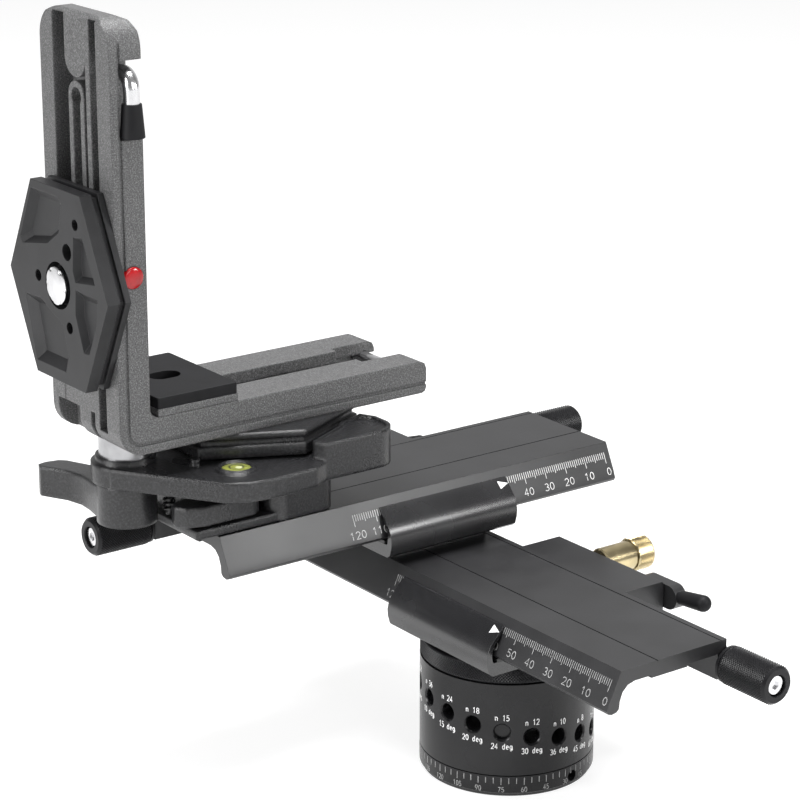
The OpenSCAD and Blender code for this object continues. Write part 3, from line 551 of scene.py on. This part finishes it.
def lock_ring():
    low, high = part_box("lock_ring")
    r = high.x
    pitch = 1.15 * MM
    depth = 0.32 * MM
    inner = 24.1 * MM
    chamfer = 0.35 * MM
    around = knurl_count(r, pitch)
    edge = r - depth - chamfer
    rings = plain_rings([(low.z + chamfer, inner), (low.z, inner + chamfer), (low.z, edge)], around)
    rings += knurl_rings(low.z + chamfer, high.z - chamfer, r, pitch, depth, around)
    rings += plain_rings([(high.z, edge), (high.z, inner + chamfer), (high.z - chamfer, inner)], around)
    verts, faces = looped(banded(rings, around), around)
    ring = piece("lock_ring_knurl", verts, faces, "lock_ring",
                 MATERIALS["knurled"], "knurled", math.radians(12))
    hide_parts("lock_ring")


# Slides

PLATE_TOP = LOWER_PLATE[1].z
PLATE_FRONT = -23.4 * MM
SKIRT_FOOT = LOWER_PLATE[0].z + 1.7 * MM
SKIRT = [
    (PLATE_FRONT, PLATE_TOP),
    (PLATE_FRONT - 5 * MM, PLATE_TOP - 10.3 * MM),
    (LOWER_PLATE[0].y, SKIRT_FOOT),
]
# The lower slide's scale is painted grey as painted shade; the upper slide's scale is white.
SCALE_PAINT = {"lower": GREY_PRINT_AND_SHADE, "upper": WHITE_PAINT}
SCALE_END = 2.7 * MM
SCALE_MM = 120
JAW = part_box("lower_cradle")
JAW_FACE = [
    (JAW[0].y + 7.1 * MM, JAW[1].z - 0.6 * MM),
    (JAW[0].y + 5.8 * MM, JAW[1].z - 1.85 * MM),
    (JAW[0].y + 4.3 * MM, JAW[1].z - 3.35 * MM),
    (JAW[0].y + 2.9 * MM, JAW[1].z - 4.95 * MM),
]


def scale_marks(name):
    """Millimetre scale on the front skirt: 0 at the plate's far end, a number every 10."""
    far_end = LOWER_PLATE[1].x if name == "lower" else UPPER_PLATE[1].y
    zero = far_end - SCALE_END
    tick_top = 3.9 * MM
    lengths = {0: 4.4 * MM, 5: 3.2 * MM}
    ticks, numbers = [], []
    for s in range(SCALE_MM + 1):
        u = zero - s * MM
        length = lengths.get(s % 10, 2.5 * MM)
        mark = tick(0.22 * MM, -length, 0)
        ticks.append(laid(mark, on_profile(SKIRT, u, tick_top, UNITS[name])))
        if s % 10 == 0:
            number = glyphs(str(s), 2.7 * MM, 1.12, 0.25 * MM)
            numbers.append(laid(number, on_profile(SKIRT, u + 0.4 * MM, 12.9 * MM, UNITS[name])))
    body = PLATE_BODY[name]
    piece(f"{name}_scale_ticks", *joined(ticks), body, SCALE_PAINT[name], "bright", 0)
    piece(f"{name}_scale_numbers", *joined(numbers), body, SCALE_PAINT[name], "bright", 0)


def jaw_pointer(name):
    """White triangle on the jaw, pointing along the scale to its 0 end."""
    base, half, tall = 24.9 * MM, 1.72 * MM, 4.3 * MM
    down = 2.1 * MM
    mark = slab([(0, -half), (tall, 0), (0, half)], -PAINT, PAINT)
    verts, faces = laid(mark, on_profile(JAW_FACE, base, down, UNITS[name]))
    piece(f"{name}_pointer", verts, faces, CRADLE_BODY[name], WHITE_PAINT, "bright", 0)


def lead_screw(name):
    """Threaded rod with plain ends."""
    low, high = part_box(f"{name}_screw")
    shaft = UNITS[name].inverted()
    a, b = shaft @ low, shaft @ high
    start, end = min(a.x, b.x), max(a.x, b.x)
    v, z = (a.y + b.y) / 2, (a.z + b.z) / 2
    r, neck, lead, depth = 3 * MM, 2 * MM, 2 * MM, 0.55 * MM
    stub = 12.5 * MM
    around, steps = 24, 4
    thread_start, thread_end = start + stub, end - stub
    count = round((thread_end - thread_start) / lead * steps)
    rings = plain_rings([(0, 0), (0, neck), (stub - 0.3 * MM, neck), (stub, r - depth)], around)
    for i in range(count + 1):
        turn = i / steps
        radii = []
        for j in range(around):
            phase = (turn - j / around) % 1
            radii.append(r - depth * abs(2 * phase - 1))
        rings.append((stub + i * lead / steps, radii))
    top = stub + count * lead / steps
    length = end - start
    rings += plain_rings([(top + 0.3 * MM, r - depth), (top + 0.6 * MM, neck), (length, neck), (length, 0)],
                         around)
    place = UNITS[name] @ along((start, v, z), (1, 0, 0))
    rod = piece(f"{name}_lead_screw", *moved(banded(rings, around), place), f"{name}_screw",
                MATERIALS["steel"], "steel", math.radians(40))
    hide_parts(f"{name}_screw")


def knobs(name):
    """Knurled knobs on both ends of a lead screw, each with a smooth collar and a recess for its screw."""
    low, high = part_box(f"{name}_knobs")
    inverse = UNITS[name].inverted()
    a, b = inverse @ low, inverse @ high
    v, z = (a.y + b.y) / 2, (a.z + b.z) / 2
    r, length, collar = (b.z - a.z) / 2, 24 * MM, 2 * MM
    pitch, depth, chamfer = 1.05 * MM, 0.34 * MM, 0.9 * MM
    recess, recess_r, bore = 2.4 * MM, 3.9 * MM, 1.5 * MM
    around = knurl_count(r, pitch)
    collar_r, neck_r = r - 0.4 * MM, r - 0.9 * MM
    rings = plain_rings([(0, 0), (0, r - 0.8 * MM), (0.3 * MM, collar_r), (collar - 0.5 * MM, collar_r),
                         (collar - 0.3 * MM, neck_r), (collar, neck_r), (collar + 0.1 * MM, r - 0.2 * MM)],
                        around)
    rings += knurl_rings(collar + 0.2 * MM, length - chamfer, r, pitch, depth, around)
    floor = length - recess
    rings += plain_rings([(length, r - depth - 0.8 * MM), (length, recess_r + 0.2 * MM),
                          (length - 0.2 * MM, recess_r), (floor, recess_r), (floor, bore), (floor, 0)],
                         around)
    part = banded(rings, around)
    made = []
    for tag, end, outward in (("near", max(a.x, b.x) - length, 1), ("far", min(a.x, b.x) + length, -1)):
        place = UNITS[name] @ along((end, v, z), (outward, 0, 0))
        knob = piece(f"{name}_knob_{tag}", *moved(part, place), f"{name}_screw",
                     MATERIALS["knurled"], "knurled", math.radians(12))
        made.append(knob)
    for knob in made:
        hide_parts(f"{name}_knobs")


def lock_knob(name):
    """Brass lock knob: smooth barrel and a knurled head."""
    low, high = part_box(f"{name}_lock")
    inverse = UNITS[name].inverted()
    a, b = inverse @ low, inverse @ high
    u, z = (a.x + b.x) / 2, (a.z + b.z) / 2
    start, end = min(a.y, b.y), max(a.y, b.y)
    length = end - start
    head_r, barrel_r, stem_r = 6.7 * MM, 5.6 * MM, 2.55 * MM
    head, stem = 8.2 * MM, 17.5 * MM
    pitch, depth, chamfer = 1.25 * MM, 0.42 * MM, 0.5 * MM
    around = knurl_count(head_r, pitch)
    rings = plain_rings([(0, 0), (0, stem_r - 0.3 * MM), (0.3 * MM, stem_r), (stem, stem_r),
                         (stem, barrel_r - chamfer), (stem + chamfer, barrel_r), (length - head, barrel_r),
                         (length - head, head_r - depth - 0.2 * MM)], around)
    rings += knurl_rings(length - head + 0.3 * MM, length - chamfer, head_r, pitch, depth, around)
    rings += plain_rings([(length, head_r - depth - chamfer), (length, head_r - 1.6 * MM),
                          (length - 0.3 * MM, head_r - 1.9 * MM), (length - 0.3 * MM, 0)], around)
    place = UNITS[name] @ along((u, start, z), (0, 1, 0))
    knob = piece(f"{name}_lock_knob", *moved(banded(rings, around), place), f"{name}_lock",
                 MATERIALS["brass"], "brass", math.radians(12))
    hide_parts(f"{name}_lock")


# Clamp

def level():
    """Bull's-eye level: liquid under a low dome, a ring line and a bubble, in a turned bezel."""
    low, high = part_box("level_vial")
    centre = (low + high) / 2
    r = (high.x - low.x) / 2
    top = high.z
    dome = 0.5 * MM
    profile = [(low.z, 0), (low.z, r), (top - 0.1 * MM, r)]
    profile += [(top - 0.1 * MM + dome * math.sin(t), (r - 0.1 * MM) * math.cos(t))
                for t in [math.radians(a) for a in (10, 25, 40, 55, 70, 80)]]
    profile.append((top - 0.1 * MM + dome, 0))
    place = Matrix.Translation((centre.x, centre.y, 0))
    vial = piece("level_liquid", *moved(turned(profile, 48), place), "upper_slide", MATERIALS["vial"], "vial")
    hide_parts("level_vial")
    crown = top - 0.1 * MM + dome
    line = [(crown - 0.2 * MM, 2.75 * MM), (crown - 0.02 * MM, 2.7 * MM), (crown - 0.02 * MM, 2.35 * MM),
            (crown - 0.2 * MM, 2.3 * MM)]
    piece("level_line", *moved(looped(turned(line, 40), 40), place), "upper_slide", DARK_LINE, "knurled")
    bubble = [(crown - 0.3 * MM, 0)]
    bubble += [(crown - 0.3 * MM + 0.42 * MM * math.sin(t), 1.7 * MM * math.cos(t))
               for t in [math.radians(a) for a in (0, 20, 40, 60, 78)]]
    bubble.append((crown + 0.12 * MM, 0))
    bezel = [
        (top - 0.6 * MM, r - 0.05 * MM),
        (top + 0.5 * MM, r + 0.15 * MM),
        (top + 0.85 * MM, r + 0.5 * MM),
        (top + 0.85 * MM, r + 1.0 * MM),
        (top + 0.4 * MM, r + 1.5 * MM),
        (top - 0.6 * MM, r + 1.6 * MM),
    ]
    verts, faces = looped(turned(bezel, 48), 48)
    faces = [face[::-1] for face in faces]
    piece("level_bezel", *moved((verts, faces), place), "upper_slide", SMOOTH_CAST, "cast")
    drift = Matrix.Translation((centre.x + 0.9 * MM, centre.y + 0.4 * MM, 0))
    piece("level_bubble", *moved(turned(bubble, 32), drift), "upper_slide", BUBBLE, "vial")


def catch_coil():
    """Round wire coil on its post."""
    low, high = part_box("catch_spring")
    centre = (low + high) / 2
    wire = 0.42 * MM
    r = (high.x - low.x) / 2 - wire
    turns, steps = 7, 20
    height = high.z - low.z - 2 * wire
    points = []
    for k in range(turns * steps + 1):
        a = 2 * math.pi * k / steps
        points.append((centre.x + r * math.cos(a), centre.y + r * math.sin(a),
                       low.z + wire + height * k / (turns * steps)))
    coil = piece("catch_coil", *tube(points, wire, 10), "upper_slide", DARK_STEEL, "steel")
    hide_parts("catch_spring")


# Bracket

def side_screw_head():
    """Scalloped head of the side plate's screw."""
    low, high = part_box("side_screw")
    x, z = (low.x + high.x) / 2, (low.z + high.z) / 2
    front = low.y
    lobes, steps = 6, 12
    outline = []
    for k in range(lobes * steps):
        a = 2 * math.pi * k / (lobes * steps)
        swing = abs(math.sin(lobes * a / 2))
        r = (6.6 - 1.1 * (1 - swing) ** 2) * MM
        outline.append((r * math.cos(a), r * math.sin(a)))
    inner = [(0.9 * px, 0.9 * py) for px, py in outline]
    n = len(outline)
    layers = ((0.15 * MM, outline), (0.55 * MM, outline), (0.8 * MM, inner))
    verts = [Vector((px, py, d)) for d, ring in layers for px, py in ring]
    faces = [list(range(n - 1, -1, -1)), list(range(2 * n, 3 * n))]
    for k in range(2):
        a, b = k * n, (k + 1) * n
        faces += [[a + i, a + (i + 1) % n, b + (i + 1) % n, b + i] for i in range(n)]
    place = basis((1, 0, 0), (0, 0, 1), (0, -1, 0), (x, front + 0.45 * MM, z))
    piece("side_screw_cap", *moved((verts, faces), place), "side_slider", MATERIALS["bright"], "bright")


def crank_rod():
    """Bent round rod of the side crank, in place of its jointed solid."""
    low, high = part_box("side_crank")
    grip_low, grip_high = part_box("side_grip")
    y = (low.y + high.y) / 2
    grip_x = (grip_low.x + grip_high.x) / 2
    z = high.z - 2.9 * MM
    bend = []
    for k in range(9):
        t = math.radians(90) * k / 8
        bend.append((grip_x - 5 * MM + 5 * MM * math.sin(t), y, z - 5 * MM + 5 * MM * math.cos(t)))
    level_part = [(low.x, y, z), (grip_x - 9 * MM, y, z)]
    hanging_part = [(grip_x, y, z - 9 * MM), (grip_x, y, grip_low.z + 7 * MM)]
    points = level_part + bend + hanging_part
    rod = piece("side_crank_rod", *tube(points, 2.8 * MM, 28), "side_crank", MATERIALS["bright"], "bright")
    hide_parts("side_crank")


def badge_dome():
    """Plain red domed stud on the upright arm."""
    low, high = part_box("badge")
    y, z = (low.y + high.y) / 2, (low.z + high.z) / 2
    r = (high.y - low.y) / 2
    wall = 1.15 * MM
    dome = 0.75 * MM
    profile = [(0, 0), (0, r), (wall, r)]
    profile += [(wall + dome * math.sin(t), r * math.cos(t))
                for t in [math.radians(a) for a in (15, 30, 45, 60, 75)]]
    profile.append((wall + dome, 0))
    stud = piece("badge_dome", *moved(turned(profile, 48), along((low.x, y, z), (1, 0, 0))), "upper_slide",
                 MATERIALS["red"], "red", math.radians(50))
    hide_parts("badge")


# Stage

# Level direction from the part to the photograph's viewpoint
TO_CAMERA = (0.803, -0.596, 0.0)
# How brightly the floor shows itself as background, and how much of that takes the place of its shading
FLOOR_GLOW = 1.2
FLOOR_GLOW_SHARE = 0.65


def floor_and_light():
    size = 12
    corners = [(-size, -size, 0), (size, -size, 0), (size, size, 0), (-size, size, 0)]
    data = bpy.data.meshes.new("floor")
    data.from_pydata(corners, [], [[0, 1, 2, 3]])
    floor = bpy.data.objects.new("floor", data)
    SCENE.collection.objects.link(floor)
    mat = bpy.data.materials.new("pale_floor")
    mat.use_nodes = True
    tree = mat.node_tree
    tree.nodes.remove(tree.nodes["Principled BSDF"])
    diffuse = add(tree, "ShaderNodeBsdfDiffuse", Color=(0.92, 0.92, 0.92, 1))
    glow = add(tree, "ShaderNodeEmission", Color=(1, 1, 1, 1), Strength=FLOOR_GLOW)
    seen = seen_ray(tree)
    share = tree.nodes.new("ShaderNodeMath")
    share.operation = "MULTIPLY"
    share.inputs[1].default_value = FLOOR_GLOW_SHARE
    mix = tree.nodes.new("ShaderNodeMixShader")
    tree.links.new(seen, share.inputs[0])
    tree.links.new(share.outputs[0], mix.inputs["Fac"])
    tree.links.new(diffuse.outputs[0], mix.inputs[1])
    tree.links.new(glow.outputs[0], mix.inputs[2])
    tree.links.new(mix.outputs[0], tree.nodes["Material Output"].inputs["Surface"])
    data.materials.append(mat)

    studio_world()
    centre = (CAD_BOX[0] + CAD_BOX[1]) / 2
    softbox("overhead", centre + Vector((0.0, 0.05, 1.2)), centre, 0.7, 32)
    softbox("left", centre + Vector((-0.1, -1.25, 0.4)), centre, 0.6, 14)
    softbox("right", centre + Vector((1.25, -0.1, 0.5)), centre, 0.6, 4)
    softbox("strip", Vector((0.56, 0.33, 0.4)), Vector((0.0, -0.05, 0.1)), 0.16, 2.0)


def studio_world():
    """Dim room, brighter behind the part as seen in the photograph."""
    world = bpy.data.worlds.new("studio")
    world.use_nodes = True
    tree = world.node_tree
    coords = add(tree, "ShaderNodeTexCoord")
    facing = tree.nodes.new("ShaderNodeVectorMath")
    facing.operation = "DOT_PRODUCT"
    facing.inputs[1].default_value = [-c for c in TO_CAMERA]
    tree.links.new(coords.outputs["Generated"], facing.inputs[0])
    level_of = add(tree, "ShaderNodeMapRange", From_Min=0.3, From_Max=0.9, To_Min=0.2, To_Max=0.62)
    tree.links.new(facing.outputs["Value"], level_of.inputs["Value"])
    background = tree.nodes["Background"]
    background.inputs["Color"].default_value = (1, 1, 1, 1)
    tree.links.new(level_of.outputs["Result"], background.inputs["Strength"])
    SCENE.world = world


def seen_ray(tree):
    """1 for camera, glossy and transmission rays."""
    path = tree.nodes.new("ShaderNodeLightPath")
    total = path.outputs["Is Camera Ray"]
    for name in ("Is Glossy Ray", "Is Transmission Ray"):
        most = tree.nodes.new("ShaderNodeMath")
        most.operation = "MAXIMUM"
        tree.links.new(total, most.inputs[0])
        tree.links.new(path.outputs[name], most.inputs[1])
        total = most.outputs[0]
    return total


def softbox(name, place, target, size, power):
    light = bpy.data.lights.new(name, "AREA")
    light.shape = "SQUARE"
    light.size = size
    light.energy = power
    obj = bpy.data.objects.new(name, light)
    obj.location = place
    obj.rotation_mode = "QUATERNION"
    obj.rotation_quaternion = (Vector(target) - Vector(place)).to_track_quat("-Z", "Y")
    SCENE.collection.objects.link(obj)


def camera():
    """The photograph's viewpoint, solved from the two millimetre scales and the drum's circles."""
    azimuth, pitch, roll = math.radians(53.432), math.radians(17.706), math.radians(0.106)
    aim = Vector((-6.68, -44.41, 146.66)) * MM
    distance = 956.87 * MM
    level_reach = math.cos(pitch)
    back = Vector((math.sin(azimuth) * level_reach, -math.cos(azimuth) * level_reach, math.sin(pitch)))
    data = bpy.data.cameras.new("camera")
    data.sensor_width = 36
    data.lens = 36 * 2748.22 / 800
    data.clip_start = 0.05
    obj = bpy.data.objects.new("camera", data)
    obj.location = aim + back * distance
    obj.rotation_mode = "QUATERNION"
    obj.rotation_quaternion = (-back).to_track_quat("-Z", "Y") @ Matrix.Rotation(roll, 3, "Z").to_quaternion()
    SCENE.collection.objects.link(obj)
    SCENE.camera = obj


def paint_frame():
    """Every CAD node takes its own finish where it has one, or else the procedural material of its slot."""
    for entry in frame["record"]["subparts"]:
        node = entry["node"]
        data = NODES[node].data
        data.materials.clear()
        data.materials.append(OWN_FINISH.get(node, MATERIALS[entry["material_slot"]]))


paint_frame()
drum_labels()
degree_marks()
lock_ring()
for unit_name in UNITS:
    scale_marks(unit_name)
    jaw_pointer(unit_name)
    lead_screw(unit_name)
    knobs(unit_name)
    lock_knob(unit_name)
level()
catch_coil()
side_screw_head()
crank_rod()
badge_dome()
for soft_node, soft_width in (
        ("lower_cradle", 0.35), ("upper_cradle", 0.35), ("lower_box", 0.5), ("upper_box", 0.5),
        ("lower_plate", 0.2), ("upper_plate", 0.2), ("l_bracket", 0.6), ("clamp_body", 0.8),
        ("clamp_base", 0.8), ("clamp_lever", 0.9), ("catch", 0.6), ("clamp_hex", 0.5), ("side_hex", 0.9),
        ("camera_plate", 0.3), ("camera_pad", 0.4), ("index_drum", 0.3), ("degree_ring", 0.2),
        ("side_grip", 0.7), ("arm_grip", 0.6), ("lower_lever", 0.5), ("upper_lever", 0.5)):
    soften(soft_node, soft_width * MM)
floor_and_light()
camera()
SCENE.view_settings.view_transform = "Standard"
